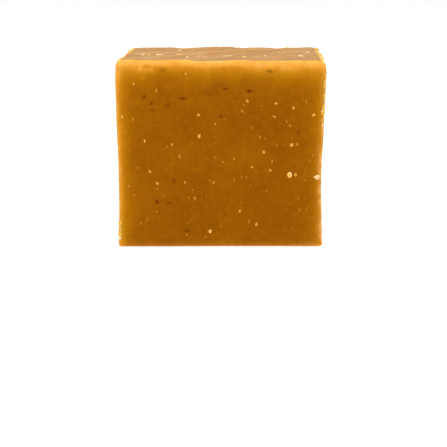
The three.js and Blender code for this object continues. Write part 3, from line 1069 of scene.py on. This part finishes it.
def add_crust(strewer, place, axis, length, thickness):
    """One crumb as a ragged cluster of bits along an edge of the plain box."""
    rng = strewer.rng
    along, flat, thin = 0.85 * length, 0.8 * thickness, 0.75 * thickness
    core = (flat, along, thin) if axis == 2 else (along, flat, thin)
    strewer.add(on_fudge(place), core, CORE_TONE, amount=CRUMB_ROUGHNESS)
    for _ in range(CRUST_BITS + round(BITS_PER_LENGTH * length)):
        spot = np.array(place, float)
        spot[axis] += rng.uniform(-1, 1) * length
        spot += rng.normal(0, BIT_STRAY * thickness, 3)
        half_sizes = thickness * rng.uniform(*BIT_SIZE) * np.array(BIT_SHAPE)
        tone = rng.uniform(*BIT_TONE)
        strewer.add(on_fudge(spot), half_sizes, tone, rng.uniform(0, 3), 0.5, amount=CRUMB_ROUGHNESS)


def add_fringe(strewer, corner_x, corner_y, count):
    """Fine bits down an upright, on its left or right face."""
    rng = strewer.rng
    for _ in range(count):
        y = corner_y * (HALF_DEPTH - rng.uniform(*FRINGE_INSET))
        near = on_fudge((corner_x * HALF_WIDTH, y, rng.uniform(0.5, HEIGHT - 1)))
        half_sizes = rng.uniform(*FRINGE_SIZE) * np.array(FRINGE_SHAPE)
        strewer.add(near, half_sizes, rng.uniform(*FRINGE_TONE), rng.uniform(0, 3), 0.45, amount=0.4)


def add_fleck(strewer, x, y, half_length):
    """A thin broken row of pale flakes on the skin, standing in for glints: a painted highlight."""
    rng = strewer.rng
    for _ in range(2 + round(3 * half_length)):
        near = (x + rng.uniform(-1, 1) * half_length, y + rng.normal(0, 0.3), HEIGHT)
        half_sizes = [rng.uniform(*limits) for limits in (FLECK_LENGTH, FLECK_WIDTH, FLECK_THICKNESS)]
        tone = rng.uniform(*FLECK_TONE)
        strewer.add(near, half_sizes, tone, rng.normal(0, 0.5), 0.6, ball(2), FLECK_ROUGHNESS)


def make_crumbs(surface):
    """Crumbs torn up along the edges, the larger ones where the solid has them, and pale flecks on the
    skin that stand in for glints.
    """
    strewer = Strewer(surface, 57)
    rng = strewer.rng
    for place, length, thickness, axis in CRUMBS:
        add_crust(strewer, place, axis, length, thickness)
    for (corner_x, corner_y), _, _ in CORNERS:
        add_fringe(strewer, corner_x, corner_y, FRINGE_BITS if corner_y > 0 else FRONT_FRINGE_BITS)
    reach = HALF_DEPTH - 2
    chance = [
        (rng.uniform(-reach, reach), rng.uniform(-4, reach), rng.uniform(*CHANCE_LENGTH))
        for _ in range(CHANCE_FLECKS)
    ]
    # The listed flecks stand in for glints on the skin: a painted highlight
    for fleck in SKIN_GLINT_FLECKS + chance:
        add_fleck(strewer, *fleck)
    return joined("edge_crumbs_and_glint_flecks", strewer.shapes, small_material("fudge_crumb_and_glint_fleck", 0.6, 0.04))


grown_surface = make_body()
make_grains(grown_surface)
make_crumbs(grown_surface)


def make_floor():
    """A wide white floor that gives a little light of its own."""
    shape = bmesh.new()
    bmesh.ops.create_circle(shape, cap_ends=True, segments=96, radius=FLOOR_RADIUS)
    mesh = bpy.data.meshes.new("floor")
    shape.to_mesh(mesh)
    shape.free()
    m = Maker("floor")
    m.shader.inputs["Base Color"].default_value = FLOOR_COLOR
    m.shader.inputs["Roughness"].default_value = 0.9
    m.shader.inputs["Specular IOR Level"].default_value = 0.0
    m.shader.inputs["Emission Color"].default_value = WHITE
    m.shader.inputs["Emission Strength"].default_value = FLOOR_LIGHT
    mesh.materials.append(m.material)
    floor = bpy.data.objects.new("floor", mesh)
    bpy.context.scene.collection.objects.link(floor)


def make_tent():
    """White light, soft from all around and stronger from above, in front of a white backdrop."""
    world = bpy.data.worlds.new("tent")
    world.use_nodes = True
    tree = world.node_tree
    background = tree.nodes["Background"]
    background.inputs["Color"].default_value = WHITE
    direction = tree.nodes.new("ShaderNodeTexCoord").outputs["Generated"]
    split = tree.nodes.new("ShaderNodeSeparateXYZ")
    tree.links.new(direction, split.inputs[0])
    rise = tree.nodes.new("ShaderNodeMapRange")
    rise.interpolation_type = "SMOOTHSTEP"
    tree.links.new(split.outputs["Z"], rise.inputs["Value"])
    limits = {"From Min": SIDE_END, "From Max": TOP_START, "To Min": SIDE_LIGHT, "To Max": TOP_LIGHT}
    for name, value in limits.items():
        rise.inputs[name].default_value = value
    backdrop = tree.nodes.new("ShaderNodeLightPath").outputs["Is Camera Ray"]
    strength = tree.nodes.new("ShaderNodeMath")
    strength.operation = "MAXIMUM"
    tree.links.new(rise.outputs["Result"], strength.inputs[0])
    tree.links.new(backdrop, strength.inputs[1])
    tree.links.new(strength.outputs["Value"], background.inputs["Strength"])
    bpy.context.scene.world = world


def make_camera():
    """The camera at the photograph's viewing angle."""
    data = bpy.data.cameras.new("camera")
    data.lens = LENS
    data.sensor_width = SENSOR
    data.clip_start = 0.01
    data.clip_end = 10
    camera = bpy.data.objects.new("camera", data)
    camera.location = Vector(CAMERA_PLACE) * MM
    camera.rotation_euler = (math.radians(90 - PITCH), 0, 0)
    bpy.context.scene.collection.objects.link(camera)
    bpy.context.scene.camera = camera


make_floor()
make_tent()
make_camera()
bpy.context.scene.view_settings.view_transform = "Standard"
